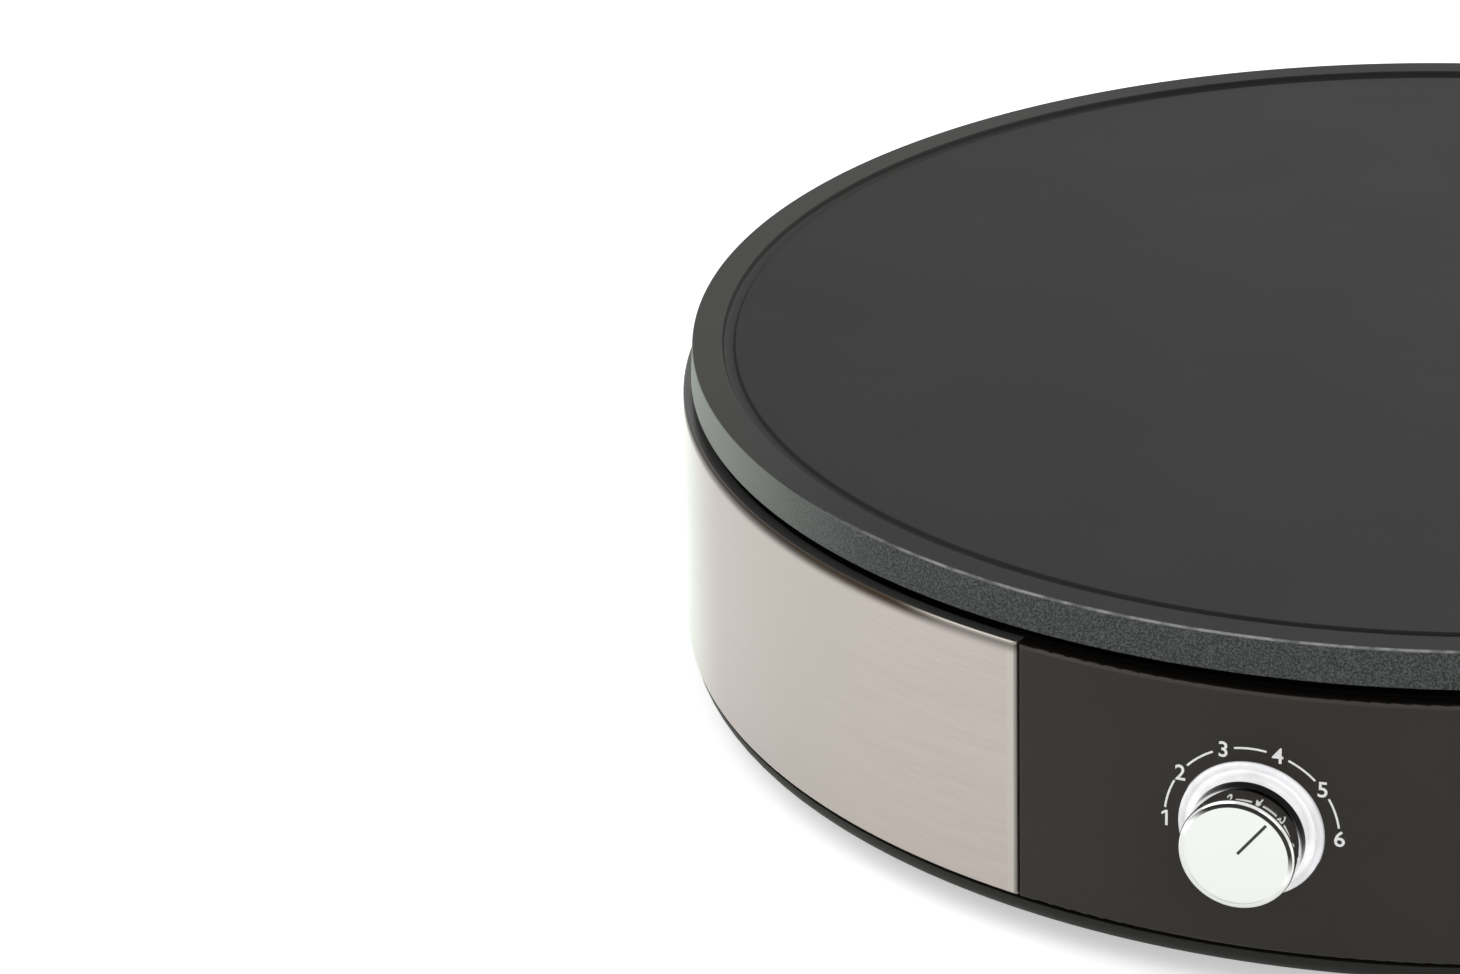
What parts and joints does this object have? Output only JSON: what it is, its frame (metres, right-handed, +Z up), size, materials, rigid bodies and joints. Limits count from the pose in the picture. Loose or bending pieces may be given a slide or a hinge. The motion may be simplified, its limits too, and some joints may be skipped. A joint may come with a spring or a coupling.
{
  "type": "electric crepe maker",
  "caption": "Round countertop crepe maker: a non-stick cast hotplate on a low drum with a brushed steel skin, a black control panel, a chromed thermostat knob and a lit ring.",
  "frame": {"origin": "bottom centre: on the surface that the rubber feet stand on, under the middle of the part, on the drum's axis to within a millimetre", "axes": "+Z up, along the drum's axis; -Y is the front, where the knob is; +Y is the rear, where the cord gland is; +X is the right-hand side seen from the front"},
  "size_m": [0.3366, 0.3569, 0.0759],
  "materials": {
    "coated_plate": "cast plate with a satin non-stick coating that holds a fine sparkle",
    "element_sheath": "dull heat-tinted sheath",
    "ceramic": "unglazed ceramic",
    "mica": "pressed mica",
    "plated_steel": "zinc plated",
    "shield_sheet": "dull rolled sheet",
    "housing_black": "moulded, matte",
    "brushed_skin": "fine brushing round the drum",
    "panel_black": "smooth matte moulding with white printing",
    "lit_diffuser": "frosted diffuser, lit from behind",
    "knob_chrome": "bright plated side, satin face",
    "pointer_black": "matte inlay",
    "spring_steel": "bare",
    "board_green": "solder mask",
    "lamp_white": "clear resin over phosphor",
    "thermostat_metal": "plated sheet",
    "thermostat_moulding": "brown thermoset moulding",
    "brass_tabs": "bare",
    "copper_tube": "drawn copper, slightly dulled",
    "base_black": "moulded, satin",
    "foot_rubber": "matte",
    "gland_rubber": "matte",
    "terminal_moulding": "natural nylon",
    "fuse_metal": "bare",
    "sleeve_brown": "silicone sleeve",
    "sleeve_black": "silicone sleeve",
    "sleeve_blue": "silicone sleeve",
    "sleeve_green_yellow": "silicone sleeve"
  },
  "bodies": {
    "drum": {"base_tray": "base_black", "bracket_screws": "plated_steel", "bulb_strap": "plated_steel", "bulb_strap_screws": "plated_steel", "capillary_tube": "copper_tube", "control_panel": "panel_black", "control_panel_screws": "plated_steel", "cord_gland": "gland_rubber", "cord_panel": "panel_black", "cord_panel_screws": "plated_steel", "earth_screw": "plated_steel", "earth_tag": "brass_tabs", "element_pins": "plated_steel", "element_seals": "ceramic", "element_strap_screws": "plated_steel", "element_straps": "plated_steel", "element_tube": "element_sheath", "fuse_clip": "plated_steel", "fuse_clip_screws": "plated_steel", "gland_nut": "housing_black", "heat_shield": "shield_sheet", "hotplate": "coated_plate", "housing": "housing_black", "lamp_board": "board_green", "lamp_board_screws": "plated_steel", "lamps": "lamp_white", "lead_earth": "sleeve_green_yellow", "lead_fused": "sleeve_black", "lead_live": "sleeve_brown", "lead_neutral": "sleeve_blue", "lead_switched": "sleeve_black", "light_ring": "lit_diffuser", "plate_bolts": "plated_steel", "plate_standoffs": "ceramic", "plate_washers": "mica", "receptacles": "brass_tabs", "rubber_feet": "foot_rubber", "sensor_bulb": "copper_tube", "shield_nuts": "plated_steel", "side_panel_left": "brushed_skin", "side_panel_right": "brushed_skin", "terminal_block": "terminal_moulding", "terminal_block_screws": "plated_steel", "terminal_screws": "brass_tabs", "thermal_fuse": "fuse_metal", "thermostat_base": "thermostat_moulding", "thermostat_bracket": "plated_steel", "thermostat_case": "thermostat_metal", "thermostat_nut": "plated_steel", "thermostat_tabs": "brass_tabs", "tray_screws": "plated_steel"},
    "knob": {"knob": "knob_chrome", "knob_pointer": "pointer_black", "knob_clip": "spring_steel", "thermostat_spindle": "brass_tabs"}
  },
  "joints": [
    {"name": "knob_turn", "type": "hinge", "parent": "drum", "child": "knob", "pos_m": [0, -0.1678, 0.03615], "axis": [0, -1, 0], "range_deg": [-46, 159]}
  ]
}
